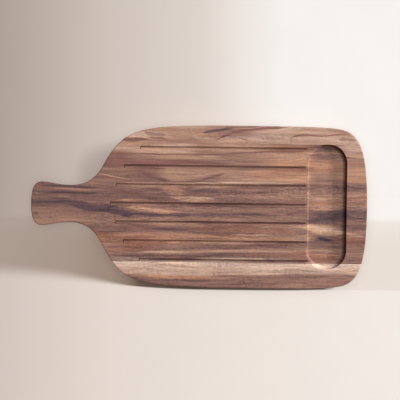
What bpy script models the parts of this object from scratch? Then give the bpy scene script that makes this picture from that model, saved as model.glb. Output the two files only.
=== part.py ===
"""Bread board with a handle, crumb grooves and a crumb tray.

The board is made the way a joiner makes it. Five straight planks, the staves, are glued edge to
edge into a panel. The panel is sawn to one outline, its rims are rounded over, a shallow tray is
cut across the broad end, and a row of round-bottomed grooves is run along the grain into the tray.

Axes: +X runs along the grain from the handle to the tray, +Y to the far long edge and +Z up.
The origin is the middle of the board's length and width, on its underside.
"""

import math

import bmesh
import bpy
import numpy as np
from mathutils import Matrix, Vector

mm = 0.001
degree = math.radians(1)

# The panel
board_length = 480 * mm
board_thickness = 18 * mm
rim_round = 1.5 * mm
near_edge_stave_width = 36.3 * mm
inner_stave_width = 56.5 * mm
inner_stave_count = 3
far_edge_stave_width = 26.2 * mm

# The glue lines: staves stand one joint apart, and the film fills all but a hair of it
joint_gap = 0.3 * mm
glue_film = 0.2 * mm

# The handle and the tray are centred on a line a little to the far side of the board's middle
work_line_y = 1.6 * mm

# The handle: its far side stays just inside a joint, and its waist keeps a tail of the near stave.
# Here and below, a pull is how far a smooth outline is drawn along its direction at a knot.
handle_shy = 0.6 * mm
waist_tail = 1.9 * mm
handle_end_pull = 14 * mm
flare_from_tip = 15 * mm
flare_pull_shy = 1 * mm
flare_pull_on = 10 * mm
waist_from_tip = 57 * mm
waist_pull_back = 20 * mm
waist_pull_on = 33 * mm

# The shoulder, where the outline swings out from the handle to the full width
shoulder_from_tip = 106 * mm
shoulder_half_width = 64 * mm
shoulder_angle = 59.5 * degree
shoulder_pull_back = 13 * mm
shoulder_pull_on = 56 * mm

# The long sides bow gently and are widest past the middle
widest_from_tip = 301 * mm
widest_pull_back = 148 * mm
widest_pull_on = 131 * mm

# The broad end: a large corner, then a shallow bow across the end
corner_from_end = 20 * mm
corner_drop = 13 * mm
corner_angle = -44 * degree
corner_pull_back = 18.5 * mm
corner_pull_on = 15 * mm
end_pull = 72 * mm

# The crumb tray
tray_width = 57.7 * mm
tray_depth = 8 * mm
tray_end_rim = 29.6 * mm
tray_side_rim = 27.1 * mm
tray_end_flat = 4.7 * mm
tray_wall_height = 2 * mm

# The crumb grooves: they start on a bow round the handle and run out into the tray
groove_count = 7
groove_width = 6.8 * mm
groove_depth = 2 * mm
groove_row_shift = 0.9 * mm
outer_groove_inset = 8.7 * mm
middle_groove_from_tip = 112 * mm
outer_groove_setback = 42.5 * mm
groove_setback_shares = (0, 0.19, 0.46, 1)

# Cuts and planks run past what they shape by this much
overrun = 5 * mm

# How finely round forms are divided, which edges count as rims, and what counts as one point
outline_steps = 16
rim_steps = 3
cove_steps = 4
corner_steps = 8
ball_sides = 24
ball_rings = 9
rim_angle = 60 * degree
weld_distance = 0.01 * mm

# What follows from the sizes above
board_width = near_edge_stave_width + inner_stave_count * inner_stave_width + far_edge_stave_width
half_length = board_length / 2
half_width = board_width / 2
joint_ys = [
    near_edge_stave_width + number * inner_stave_width - half_width
    for number in range(inner_stave_count + 1)
]
flare_half_width = joint_ys[2] - handle_shy - work_line_y
waist_half_width = work_line_y - joint_ys[1] + waist_tail
tray_half_length = half_width - tray_side_rim
tray_corner_radius = (tray_width - tray_end_flat) / 2
tray_cove_radius = tray_depth - tray_wall_height
tray_x = half_length - tray_end_rim - tray_width / 2

# Base colour and roughness of each piece, from the near edge to the far one
stave_finishes = {
    "near_edge_stave": ((0.50, 0.37, 0.28), 0.50),
    "near_stave": ((0.26, 0.14, 0.10), 0.45),
    "middle_stave": ((0.22, 0.14, 0.11), 0.45),
    "far_stave": ((0.36, 0.20, 0.13), 0.45),
    "far_edge_stave": ((0.40, 0.26, 0.18), 0.48),
}
glue_names = ("near_edge_glue_line", "near_glue_line", "far_glue_line", "far_edge_glue_line")
glue_finish = ((0.18, 0.10, 0.05), 0.35)


def clear_scene():
    """Empty the scene without touching the file this script may live in."""
    for old in list(bpy.data.objects):
        bpy.data.objects.remove(old, do_unlink=True)


def new_collection(name):
    """Make a collection and link it to the scene."""
    collection = bpy.data.collections.new(name)
    bpy.context.scene.collection.children.link(collection)
    return collection


def wood_or_glue(name, finish):
    """Make a plain Principled material from a colour and a roughness."""
    color, roughness = finish
    material = bpy.data.materials.new(name)
    material.use_nodes = True
    shader = material.node_tree.nodes["Principled BSDF"]
    shader.inputs["Base Color"].default_value = (*color, 1)
    shader.inputs["Roughness"].default_value = roughness
    shader.inputs["Metallic"].default_value = 0
    return material


def mesh_object(name, mesh, collection):
    """Wrap a mesh in an object in the given collection."""
    thing = bpy.data.objects.new(name, mesh)
    collection.objects.link(thing)
    return thing


def as_guide(thing):
    """Mark an object as a cutter or guide: drawn as wire and never rendered."""
    thing.display_type = "WIRE"
    thing.hide_render = True
    return thing


def box_mesh(name, low, high):
    """A box between two corners."""
    size = high - low
    place = Matrix.Translation((low + high) / 2) @ Matrix.Diagonal((*size, 1))
    shape = bmesh.new()
    bmesh.ops.create_cube(shape, size=1, matrix=place)
    mesh = bpy.data.meshes.new(name)
    shape.to_mesh(mesh)
    shape.free()
    return mesh


def outline_knots():
    """Knots of the closed outline, from the handle's tip along the far side and back along the near.

    Each knot is its x, its y, the direction the outline travels in there, and how far the curve is
    pulled back towards the knot before it and on towards the knot after it. A side's knots are
    first written as the x, the distance from the side's own middle line, and that line.
    """
    tip_x = -half_length
    side = [
        (tip_x + flare_from_tip, flare_half_width, work_line_y, 0,
         flare_from_tip - flare_pull_shy, flare_pull_on),
        (tip_x + waist_from_tip, waist_half_width, work_line_y, 0, waist_pull_back, waist_pull_on),
        (tip_x + shoulder_from_tip, shoulder_half_width, 0, shoulder_angle,
         shoulder_pull_back, shoulder_pull_on),
        (tip_x + widest_from_tip, half_width, 0, 0, widest_pull_back, widest_pull_on),
        (half_length - corner_from_end, half_width - corner_drop, 0, corner_angle,
         corner_pull_back, corner_pull_on),
    ]
    far = [(x, line + out, angle, back, on) for x, out, line, angle, back, on in side]
    near = [(x, line - out, math.pi - angle, on, back) for x, out, line, angle, back, on in side]
    tip = (tip_x, work_line_y, 90 * degree, handle_end_pull, handle_end_pull)
    end = (half_length, 0, -90 * degree, end_pull, end_pull)
    return [tip, *far, end, *reversed(near)]


def outline_curve(name, knots):
    """A closed flat outline through Bezier knots, filled and as thick as the board."""
    curve = bpy.data.curves.new(name, "CURVE")
    curve.dimensions = "2D"
    curve.fill_mode = "BOTH"
    curve.extrude = board_thickness / 2
    curve.resolution_u = outline_steps
    spline = curve.splines.new("BEZIER")
    spline.bezier_points.add(len(knots) - 1)
    spline.use_cyclic_u = True
    for point, (x, y, angle, pull_back, pull_on) in zip(spline.bezier_points, knots):
        way = Vector((math.cos(angle), math.sin(angle), 0))
        point.handle_left_type = "FREE"
        point.handle_right_type = "FREE"
        point.co = (x, y, 0)
        point.handle_left = point.co - way * pull_back
        point.handle_right = point.co + way * pull_on
    return curve


def curve_to_mesh(name, curve, place, collection):
    """Turn a curve into a closed mesh object: each cap is made one face and welded to the wall."""
    drawn = bpy.data.objects.new(name + "_outline", curve)
    collection.objects.link(drawn)
    drawn.location = place
    bpy.context.view_layer.update()
    graph = bpy.context.evaluated_depsgraph_get()
    mesh = bpy.data.meshes.new_from_object(drawn.evaluated_get(graph))
    mesh.name = name
    mesh.transform(drawn.matrix_world)
    shape = bmesh.new()
    shape.from_mesh(mesh)
    bmesh.ops.remove_doubles(shape, verts=shape.verts, dist=weld_distance)
    bmesh.ops.recalc_face_normals(shape, faces=shape.faces)
    for way in (Vector((0, 0, 1)), Vector((0, 0, -1))):
        cap = [face for face in shape.faces if face.normal.angle(way) < rim_angle]
        bmesh.ops.dissolve_faces(shape, faces=cap)
    shape.to_mesh(mesh)
    shape.free()
    bpy.data.objects.remove(drawn, do_unlink=True)
    return mesh_object(name, mesh, collection)


def add_difference(thing, cutter):
    """Cut one object out of another."""
    cut = thing.modifiers.new("cut_" + cutter.name, "BOOLEAN")
    cut.operation = "DIFFERENCE"
    cut.solver = "EXACT"
    cut.object = cutter


def tray_cutter(collection):
    """The tray's hollow: a round-cornered block whose foot is rounded, which leaves a cove."""
    corner_x = tray_width / 2 - tray_corner_radius
    corner_y = tray_half_length - tray_corner_radius
    centres = ((corner_x, corner_y), (-corner_x, corner_y), (-corner_x, -corner_y), (corner_x, -corner_y))
    floor_z = board_thickness - tray_depth
    shape = bmesh.new()
    foot = []
    for quarter, (x, y) in enumerate(centres):
        for step in range(corner_steps + 1):
            angle = (quarter + step / corner_steps) * math.pi / 2
            side_x = tray_x + x + tray_corner_radius * math.cos(angle)
            side_y = work_line_y + y + tray_corner_radius * math.sin(angle)
            foot.append(shape.verts.new((side_x, side_y, floor_z)))
    floor = shape.faces.new(foot)
    raised = bmesh.ops.extrude_face_region(shape, geom=[floor])["geom"]
    lid = [item for item in raised if isinstance(item, bmesh.types.BMVert)]
    bmesh.ops.translate(shape, verts=lid, vec=(0, 0, tray_depth + overrun))
    bmesh.ops.recalc_face_normals(shape, faces=shape.faces)
    low_edges = [edge for edge in shape.edges if all(vert in foot for vert in edge.verts)]
    bmesh.ops.bevel(
        shape, geom=low_edges, offset=tray_cove_radius, offset_type="OFFSET",
        segments=cove_steps, profile=0.5, affect="EDGES", clamp_overlap=True,
    )
    mesh = bpy.data.meshes.new("tray_cutter")
    shape.to_mesh(mesh)
    shape.free()
    return as_guide(mesh_object("tray_cutter", mesh, collection))


def groove_cutter(name, start_x, y, collection):
    """One round-bottomed groove: a ball drawn out along the grain, which stops inside the tray."""
    half = groove_width / 2
    ball_radius = (half * half + groove_depth * groove_depth) / (2 * groove_depth)
    ring_share = math.cos(math.pi / (2 * ball_rings))
    shape = bmesh.new()
    bmesh.ops.create_uvsphere(
        shape, u_segments=ball_sides, v_segments=ball_rings, radius=ball_radius / ring_share,
        matrix=Matrix.Rotation(90 * degree, 4, "Y"),
    )
    front = [vert for vert in shape.verts if vert.co.x > 0]
    bmesh.ops.translate(shape, verts=front, vec=(tray_x - start_x - half, 0, 0))
    centre_z = board_thickness - groove_depth + ball_radius
    bmesh.ops.translate(shape, verts=shape.verts, vec=(start_x + half, y, centre_z))
    mesh = bpy.data.meshes.new(name)
    shape.to_mesh(mesh)
    shape.free()
    return as_guide(mesh_object(name, mesh, collection))


def groove_cutters(collection):
    """The row of grooves, from the near side to the far one."""
    row_half_length = tray_half_length - outer_groove_inset
    places = np.linspace(-1, 1, groove_count)
    table_places = np.linspace(0, 1, len(groove_setback_shares))
    setbacks = outer_groove_setback * np.interp(abs(places), table_places, groove_setback_shares)
    cutters = []
    for number, (place, setback) in enumerate(zip(places, setbacks), start=1):
        start_x = middle_groove_from_tip + setback - half_length
        y = work_line_y + groove_row_shift + place * row_half_length
        cutters.append(groove_cutter(f"groove_cutter_{number}", start_x, y, collection))
    return cutters


def shaped_board(collection):
    """The whole panel as one guide: outline, rounded rims, tray and grooves."""
    middle = Vector((0, 0, board_thickness / 2))
    outline = outline_curve("board_outline", outline_knots())
    board = curve_to_mesh("shaped_board", outline, middle, collection)
    rims = board.modifiers.new("rounded_rims", "BEVEL")
    rims.limit_method = "ANGLE"
    rims.angle_limit = rim_angle
    rims.width = rim_round
    rims.segments = rim_steps
    add_difference(board, tray_cutter(collection))
    for cutter in groove_cutters(collection):
        add_difference(board, cutter)
    return as_guide(board)


def plank(name, near_y, far_y, finish, board, collection):
    """A straight slab of wood or glue, kept only where the shaped board is."""
    low = Vector((-half_length - overrun, near_y, -overrun))
    high = Vector((half_length + overrun, far_y, board_thickness + overrun))
    piece = mesh_object(name, box_mesh(name, low, high), collection)
    piece.data.materials.append(wood_or_glue(name, finish))
    shaping = piece.modifiers.new("sawn_to_shape", "BOOLEAN")
    shaping.operation = "INTERSECT"
    shaping.solver = "EXACT"
    shaping.object = board
    return piece


def build():
    """Lay the staves and the glue lines side by side, and shape them as one panel."""
    clear_scene()
    pieces = new_collection("bread_board")
    guides = new_collection("cutters")
    board = shaped_board(guides)
    outside = half_width + overrun
    near_faces = [-outside] + [y + joint_gap / 2 for y in joint_ys]
    far_faces = [y - joint_gap / 2 for y in joint_ys] + [outside]
    for (name, finish), near_y, far_y in zip(stave_finishes.items(), near_faces, far_faces):
        plank(name, near_y, far_y, finish, board, pieces)
    for name, y in zip(glue_names, joint_ys):
        plank(name, y - glue_film / 2, y + glue_film / 2, glue_finish, board, pieces)


build()
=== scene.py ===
# %% [markdown]
# The bread board's looks
#
# The imported model brings five staves of wood and four thin glue lines, cut with few faces. This
# lesson dresses them. Each stave gets a fine surface worked out with numpy, so that grooves, tray
# and rims shade softly, and a wood of its own, because a glued board shows where one plank ends and
# the next begins.
#
# The frame is loaded first.

import math

import bmesh
import bpy
import numpy as np
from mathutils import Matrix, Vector


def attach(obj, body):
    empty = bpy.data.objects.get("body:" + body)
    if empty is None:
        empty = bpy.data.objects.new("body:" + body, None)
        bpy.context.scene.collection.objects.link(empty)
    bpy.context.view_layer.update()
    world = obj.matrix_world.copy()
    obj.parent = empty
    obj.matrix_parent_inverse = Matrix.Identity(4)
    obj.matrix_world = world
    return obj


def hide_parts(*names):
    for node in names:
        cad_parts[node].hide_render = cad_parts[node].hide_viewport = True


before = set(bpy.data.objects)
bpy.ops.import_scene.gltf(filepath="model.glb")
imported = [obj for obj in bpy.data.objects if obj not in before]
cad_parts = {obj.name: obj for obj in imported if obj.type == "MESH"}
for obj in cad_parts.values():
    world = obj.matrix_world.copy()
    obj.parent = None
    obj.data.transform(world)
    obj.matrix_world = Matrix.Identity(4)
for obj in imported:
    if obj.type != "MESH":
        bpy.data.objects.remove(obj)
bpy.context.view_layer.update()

# %% [markdown]
# The sizes of the board
#
# These are the sizes that the solids were made with. The wood is drawn over the same plan, so every
# groove and lip of the fine surface lies where the solid has it.

# %% Sizes
mm = 0.001
degree = math.radians(1)
half_length = 240 * mm
half_width = 116 * mm
thickness = 18 * mm
rim_round = 1.5 * mm
joint_ys = np.array([-79.7, -23.2, 33.3, 89.8]) * mm
work_line_y = 1.6 * mm

tray_half_width = 28.85 * mm
tray_half_length = 88.9 * mm
tray_x = 181.55 * mm
tray_corner = 26.5 * mm
tray_floor_z = 10 * mm
tray_cove = 6 * mm
tray_lip_round = 0.5 * mm

groove_ys = work_line_y + 0.9 * mm + np.linspace(-1, 1, 7) * 80.2 * mm
groove_starts = 112 * mm - half_length + 42.5 * mm * np.array([1, 0.46, 0.19, 0, 0.19, 0.46, 1])
groove_half_width = 3.4 * mm
groove_depth = 2 * mm
groove_lip_softness = 0.25 * mm
print("joints at y", np.round(joint_ys / mm, 1), "grooves at y", np.round(groove_ys / mm, 1))

# %% [markdown]
# The outline
#
# A sawn and sanded outline flows from the handle into the board, so it is drawn as smooth curves
# through a few knots. Each long side is one run of cubic Bezier curves. The two sides mirror each
# other, but the handle sits a little to the far side, so the handle's knots are counted from a line
# of its own.


# %% Draw one long side
points_per_curve = 161


def long_side(side, inset):
    """One side, moved inwards, from handle to broad end: its points and outward directions.

    Between two knots A and D, with pulls B and C, the point at share t is
    (1-t)^3 A + 3 (1-t)^2 t B + 3 (1-t) t^2 C + t^3 D. The outward direction is the way of travel
    turned by a quarter, and the inset moves each point against it.
    """
    # Columns: x, distance from the side's own middle line, that line, direction, pull back, pull on
    knots = np.array([
        (-240, 0, 1.6, 90, 0, 14),
        (-225, 31.1, 1.6, 0, 14, 10),
        (-183, 26.7, 1.6, 0, 20, 33),
        (-134, 64, 0, 59.5, 13, 56),
        (61, 116, 0, 0, 148, 131),
        (220, 103, 0, -44, 18.5, 15),
        (240, 0, 0, -90, 72, 0),
    ])
    x, out, line, turn, back, on = knots.T
    place = np.stack([x, line + side * out], axis=1) * mm
    way = np.stack([np.cos(turn * degree), side * np.sin(turn * degree)], axis=1)
    a, d = place[:-1, None], place[1:, None]
    b = a + (way[:-1] * on[:-1, None] * mm)[:, None]
    c = d - (way[1:] * back[1:, None] * mm)[:, None]
    t = np.linspace(0, 1, points_per_curve)[None, :, None]
    point = (1 - t) ** 3 * a + 3 * (1 - t) ** 2 * t * b + 3 * (1 - t) * t ** 2 * c + t ** 3 * d
    travel = (1 - t) ** 2 * (b - a) + 2 * (1 - t) * t * (c - b) + t ** 2 * (d - c)
    travel = (travel / np.linalg.norm(travel, axis=2, keepdims=True)).reshape(-1, 2)
    outward = side * np.stack([-travel[:, 1], travel[:, 0]], axis=1)
    return point.reshape(-1, 2) - inset * outward, outward


far_points, far_outward = long_side(1, rim_round)
near_points, near_outward = long_side(-1, rim_round)
print("side of", len(far_points), "points, widest at", far_points[far_points[:, 1].argmax()] / mm)

# %% [markdown]
# Where the surface needs fineness
#
# The top is a grid of rows along the grain and columns across it. A plank is flat nearly
# everywhere, so the rows crowd together only in the grooves, and the columns only where a groove
# begins, round the tray's corners and where the outline turns fast.


# %% Choose rows and columns
def merged(values, least):
    """Sorted values with those closer together than the least step left out."""
    kept = []
    for value in sorted(values):
        if not kept or value - kept[-1] > least:
            kept.append(value)
    return np.array(kept)


def along_side(spacing):
    """The x of points evenly spaced along the far side, measured on the curve."""
    steps = np.linalg.norm(np.diff(far_points, axis=0), axis=1)
    run = np.concatenate([[0], np.cumsum(steps)])
    return np.interp(np.linspace(0, run[-1], int(run[-1] / spacing)), run, far_points[:, 0])


# %% [markdown]
# Fifteen rows cross each groove, and they crowd at its lips, where the section turns fastest. Two
# rows lie exactly where the tray's straight sides end. Plain rows fill the flat wood between.

# %% Rows along the grain
rows_per_groove = 15
crowding = 72 * degree
beyond_lips = groove_half_width * 1.22
plain_step = 3 * mm

groove_shares = np.sin(np.linspace(-1, 1, rows_per_groove) * crowding) / math.sin(crowding)
groove_rows = (groove_ys[:, None] + groove_shares[None, :] * beyond_lips).ravel()
corner_y = tray_half_length - tray_corner
fixed_rows = [work_line_y - corner_y, work_line_y + corner_y]
plain_rows = np.arange(-half_width, half_width, plain_step)
from_groove = np.abs(plain_rows[:, None] - groove_ys[None, :]).min(axis=1)
plain_rows = plain_rows[from_groove > groove_half_width * 1.4]
rows = merged([*groove_rows, *plain_rows, *fixed_rows], 0.02 * mm)
print(len(rows), "rows")

# %% [markdown]
# The tray's hole is a little wider than the tray, by the softness of its lip. Its corners are
# quarter circles, so their columns are spaced by equal turns, and one more lies wherever a groove's
# row meets the arc.

# %% Columns across the grain
corner_steps = 29
start_steps = 16
column_step = 1.9 * mm

hole_corner = tray_corner + tray_lip_round
hole_left = tray_x - tray_half_width - tray_lip_round
hole_right = tray_x + tray_half_width + tray_lip_round
sweep = hole_corner * (1 - np.cos(np.linspace(0, 90, corner_steps) * degree))
outer_rows = groove_rows[np.abs(groove_rows - work_line_y) > corner_y] - work_line_y
outer_rise = np.abs(outer_rows) - corner_y
crossings = hole_corner - np.sqrt(hole_corner ** 2 - outer_rise[outer_rise < hole_corner] ** 2)
tray_columns = [*(hole_left + sweep), *(hole_right - sweep), *(hole_left + crossings)]
tray_columns = merged(tray_columns, 0.004 * mm)
tray_columns[0], tray_columns[-1] = hole_left, hole_right

starts = (groove_starts[3:, None] + np.linspace(-0.6, 4.6, start_steps)[None, :] * mm).ravel()
plain_columns = along_side(column_step)
outside_tray = (plain_columns < hole_left - 0.3 * mm) | (plain_columns > hole_right + 0.3 * mm)
board_columns = merged([*plain_columns[outside_tray], *starts], 0.0005 * mm)
columns = np.sort(np.concatenate([board_columns, tray_columns]))
columns[0], columns[-1] = far_points[0, 0], far_points[-1, 0]
print(len(columns), "columns, of which", len(tray_columns), "cross the tray")

# %% [markdown]
# Grooves as a height
#
# A round-nosed cutter leaves a groove whose section is part of a circle and whose closed end is
# part of a ball. Its depth at any place is therefore a function of the distance to the cutter's
# path alone. Sanding softens the lips, so the depth is blended into zero instead of stopping short.


# %% Height of the top
def top_height(x, y):
    """The top's z: the thickness less the groove's depth.

    With r the distance to the nearest cutter path and R the cutter's radius, the depth is
    sqrt(R^2 - r^2) - (R - depth), smoothed to zero where it would turn negative.
    """
    radius = (groove_half_width ** 2 + groove_depth ** 2) / (2 * groove_depth)
    nearest = np.full(np.shape(x), 1.0)
    for start, groove_y in zip(groove_starts, groove_ys):
        before = np.minimum(x - (start + groove_half_width), 0)
        beyond = np.where(x > tray_x, 1, 0)
        nearest = np.minimum(nearest, np.hypot(before, y - groove_y) + beyond)
    inside = np.sqrt(np.maximum(radius ** 2 - nearest ** 2, 0)) - (radius - groove_depth)
    plain = groove_depth - radius
    soft = (inside + np.sqrt(inside ** 2 + groove_lip_softness ** 2)) / 2
    return thickness - soft + (plain + math.sqrt(plain ** 2 + groove_lip_softness ** 2)) / 2


middle_groove = groove_ys[3]
for name, y in (("plain top", middle_groove + 13 * mm), ("groove", middle_groove)):
    print(name, "at", round(float(top_height(0, y)) / mm, 3), "mm")

# %% [markdown]
# One skin for the whole board
#
# The glued panel is shaped as one piece, so the skin is worked out for the whole board and cut into
# staves afterwards. Patches of a grid make the top. Where a row runs past the outline or into the
# tray it is clipped to the edge, and the points that fall together there are merged.


# %% Gather patches into a skin
class Skin:
    """Patches of quads gathered into one mesh."""

    def __init__(self):
        self.points, self.faces, self.count = [], [], 0

    def patch(self, x, y, z, flip=False):
        """Add a grid of points. Faces look to +Z when x grows by column and y by row."""
        tall, wide = x.shape
        self.points.append(np.stack([x, y, z], axis=-1).reshape(-1, 3))
        index = self.count + np.arange(tall * wide).reshape(tall, wide)
        quads = np.stack([index[:-1, :-1], index[:-1, 1:], index[1:, 1:], index[1:, :-1]], axis=-1)
        quads = quads.reshape(-1, 4)
        self.faces += (quads[:, ::-1] if flip else quads).tolist()
        self.count += tall * wide
        return index

    def mesh(self, name):
        """Make the mesh and merge the points that fall together."""
        mesh = bpy.data.meshes.new(name)
        mesh.from_pydata(np.concatenate(self.points), [], self.faces)
        shape = bmesh.new()
        shape.from_mesh(mesh)
        bmesh.ops.remove_doubles(shape, verts=shape.verts, dist=0.001 * mm)
        bmesh.ops.dissolve_degenerate(shape, edges=shape.edges, dist=0.0005 * mm)
        shape.to_mesh(mesh)
        shape.free()
        return mesh


def side_at(x, points, outward):
    """A side's y and outward direction at each x."""
    return [np.interp(x, points[:, 0], value) for value in (points[:, 1], *outward.T)]


skin = Skin()
far_y, far_nx, far_ny = side_at(columns, far_points, far_outward)
near_y, near_nx, near_ny = side_at(columns, near_points, near_outward)
waist = (far_y - near_y)[(columns < -150 * mm) & (columns > -215 * mm)].min()
print("the waist is", round(waist / mm, 1), "mm wide inside the rims")

# %% [markdown]
# Four patches lie round the tray's hole: left of it, right of it, and below and above it. The
# hole's own edge is straight along the sides and a quarter circle at each corner.


# %% The top, round the tray's hole
def top_patch(chosen, low, high):
    """Rows over some columns, clipped between two edges."""
    x = np.broadcast_to(columns[chosen][None, :], (len(rows), chosen.sum()))
    y = np.clip(rows[:, None], low[None, :], high[None, :])
    skin.patch(x, y, top_height(x, y))


def hole_half_height(x):
    """Half the hole's height at x: straight sides, then corners as quarter circles."""
    into_corner = np.maximum(hole_corner - np.minimum(x - hole_left, hole_right - x), 0)
    return corner_y + np.sqrt(np.maximum(hole_corner ** 2 - into_corner ** 2, 0))


left = columns <= hole_left
right = columns >= hole_right
across = (columns >= hole_left) & (columns <= hole_right)
top_patch(left, near_y[left], far_y[left])
top_patch(right, near_y[right], far_y[right])
hole_rise = hole_half_height(columns[across])
hole_rise[0] = hole_rise[-1] = corner_y
top_patch(across, near_y[across], work_line_y - hole_rise)
top_patch(across, work_line_y + hole_rise, far_y[across])
print("top:", len(skin.faces), "quads")

# %% [markdown]
# The tray
#
# The tray is cut with a cutter that has rounded corners, which leaves a short upright wall and a
# cove down to a flat floor. That is a profile carried round the hole: a softened lip, the wall,
# then a quarter circle. Where a groove runs out into the tray the lip starts lower, so each point
# of the ring has a profile of its own.

# %% The tray's lip, wall, cove and floor
wall_rows = rows[np.abs(rows - work_line_y) <= corner_y + 0.001 * mm]
hole_x = columns[across]
ring = np.concatenate([
    np.stack([np.full(len(wall_rows), hole_left), wall_rows], axis=1),
    np.stack([hole_x, work_line_y + hole_rise], axis=1)[1:-1],
    np.stack([np.full(len(wall_rows), hole_right), wall_rows[::-1]], axis=1),
    np.stack([hole_x, work_line_y - hole_rise], axis=1)[1:-1][::-1],
])
ring = np.concatenate([ring, ring[:1]])
centre_x = np.clip(ring[:, 0], hole_left + hole_corner, hole_right - hole_corner)
centre_y = np.clip(ring[:, 1], work_line_y - corner_y, work_line_y + corner_y)
inward = np.stack([centre_x - ring[:, 0], centre_y - ring[:, 1]], axis=1)
inward /= np.linalg.norm(inward, axis=1, keepdims=True)

lip_z = top_height(ring[:, 0], ring[:, 1])
lip_steps, cove_steps = 6, 13
bend = np.linspace(0, 90, lip_steps)[:, None] * degree
lip_in = tray_lip_round * np.sin(bend) * np.ones(len(ring))
lip_down = lip_z - tray_lip_round * (1 - np.cos(bend))
cove_top_z = tray_floor_z + tray_cove
wall_z = lip_z - tray_lip_round
first_turn = np.arcsin(np.clip((cove_top_z - wall_z) / tray_cove, 0, 1))
turn = first_turn + (90 * degree - first_turn) * np.linspace(0, 1, cove_steps)[:, None]
cove_in = tray_lip_round + tray_cove * (1 - np.cos(turn))
cove_down = cove_top_z - tray_cove * np.sin(turn)
profile_in = np.concatenate([lip_in, cove_in])
profile_z = np.concatenate([lip_down, cove_down])
tray_x_grid = ring[:, 0] + inward[:, 0] * profile_in
tray_y_grid = ring[:, 1] + inward[:, 1] * profile_in
rings = skin.patch(tray_x_grid, tray_y_grid, profile_z, flip=True)
skin.faces.append(rings[-1, :-1].tolist()[::-1])
print("tray ring of", len(ring), "points, floor at", profile_z[-1].mean() / mm, "mm")

# %% [markdown]
# The rim and the underside
#
# The sawn edge is rounded over at the top and at the bottom. The rim is a second profile, carried
# round the outline: a quarter circle, the upright edge, and a quarter circle back under.

# %% The rim and the underside
rim_steps = 9
bend = np.linspace(0, 90, rim_steps) * degree
rim_out = rim_round * np.concatenate([np.sin(bend), np.sin(bend)[::-1]])
rim_fall = rim_round * (1 - np.cos(bend))
rim_z = np.concatenate([thickness - rim_fall, rim_fall[::-1]])
loop_x = np.concatenate([columns, columns[::-1]])
loop_y = np.concatenate([near_y, far_y[::-1]])
loop_nx = np.concatenate([near_nx, far_nx[::-1]])
loop_ny = np.concatenate([near_ny, far_ny[::-1]])
rim_x_grid = loop_x + rim_out[:, None] * loop_nx
rim_y_grid = loop_y + rim_out[:, None] * loop_ny
skin.patch(rim_x_grid, rim_y_grid, rim_z[:, None] * np.ones(len(loop_x)), flip=True)

under_x = np.stack([columns, columns])
under_y = np.stack([near_y, far_y])
skin.patch(under_x, under_y, np.zeros_like(under_x), flip=True)
whole = skin.mesh("whole_board_skin")
print("whole skin:", len(whole.polygons), "faces")

# %% [markdown]
# Cutting the skin into staves
#
# On the real board each plank was planed square, glued to its neighbours and only then shaped with
# them. So a stave is the part of the shaped panel between two joints: the skin is cut along two
# upright planes, and the cut faces are closed, which leaves a solid body with its own two glue
# faces. Modelling each stave alone would risk a step at every joint. Thin slices cut at the joints
# are the glue lines.


# %% Cut a slice between two joints
def put(name, data):
    """A new object in the scene."""
    thing = bpy.data.objects.new(name, data)
    bpy.context.scene.collection.objects.link(thing)
    return thing


def slice_of_board(name, low_y, high_y):
    """The board's skin between two upright planes, with the cut faces closed."""
    shape = bmesh.new()
    shape.from_mesh(whole)
    for y, out in ((low_y, -1), (high_y, 1)):
        if abs(y) < half_width:
            everything = [*shape.verts, *shape.edges, *shape.faces]
            cut = bmesh.ops.bisect_plane(
                shape, geom=everything, dist=0.0001 * mm,
                plane_co=(0, y, 0), plane_no=(0, out, 0), clear_outer=True,
            )
            rim = [item for item in cut["geom_cut"] if isinstance(item, bmesh.types.BMEdge)]
            bmesh.ops.triangle_fill(shape, use_beauty=False, edges=rim, normal=(0, out, 0))
    mesh = bpy.data.meshes.new(name)
    shape.to_mesh(mesh)
    open_edges = sum(1 for edge in shape.edges if len(edge.link_faces) != 2)
    shape.free()
    mesh.shade_smooth()
    mesh.set_sharp_from_angle(angle=40 * degree)
    print(name, len(mesh.polygons), "faces,", open_edges, "open edges")
    return put(name, mesh)


hair = 0.01 * mm
film = 0.1 * mm
stave_names = ["near_edge_stave", "near_stave", "middle_stave", "far_stave", "far_edge_stave"]
glue_names = ["near_edge_glue_line", "near_glue_line", "far_glue_line", "far_edge_glue_line"]
lows = [-1, *(joint_ys + film + hair)]
highs = [*(joint_ys - film - hair), 1]
staves = {
    name: slice_of_board(name + "_wood", low, high)
    for name, low, high in zip(stave_names, lows, highs)
}
glue_lines = {
    name: slice_of_board(name + "_film", y - film, y + film)
    for name, y in zip(glue_names, joint_ys)
}

# %% [markdown]
# The tones of this wood
#
# Acacia, which this looks like, is a wood of many tones: pink-grey browns, orange streaks, ink-dark
# heart lines and a cream sapwood. A maker sorts them by eye and names them, and this lesson names
# them too.

# %% Palette
tones = {
    # The darkest tone serves the cutter's real scorch and end grain, and also painted shade in the
    # grooves and the tray.
    "scorch": (58, 38, 34), "pitch": (72, 57, 62), "ink": (88, 69, 75), "dusk": (104, 82, 84),
    "umber": (116, 87, 81), "bark": (126, 95, 88), "walnut": (137, 103, 94),
    "fawn": (150, 115, 102), "tan": (164, 127, 110), "straw": (180, 142, 121),
    "cream": (200, 168, 149), "wheat": (210, 171, 141), "rose": (188, 152, 138),
    "oat": (188, 160, 143), "sapwood": (214, 186, 168), "milk": (228, 204, 188),
    "russet": (140, 98, 84), "amber": (157, 114, 92), "honey": (174, 129, 107),
    "apricot": (186, 141, 115), "peach": (198, 151, 125), "plum": (133, 93, 87),
    "slate": (141, 114, 106), "moss": (150, 127, 114),
}


def linear(red, green, blue):
    """A tone as light: ((c + 0.055) / 1.055)^2.4 for each channel c of a screen colour."""
    shares = np.array([red, green, blue]) / 255
    light = np.where(shares > 0.04045, ((shares + 0.055) / 1.055) ** 2.4, shares / 12.92)
    return (*(float(channel) for channel in light), 1.0)


def toned(name):
    """A named tone as light."""
    return linear(*tones[name])


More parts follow.
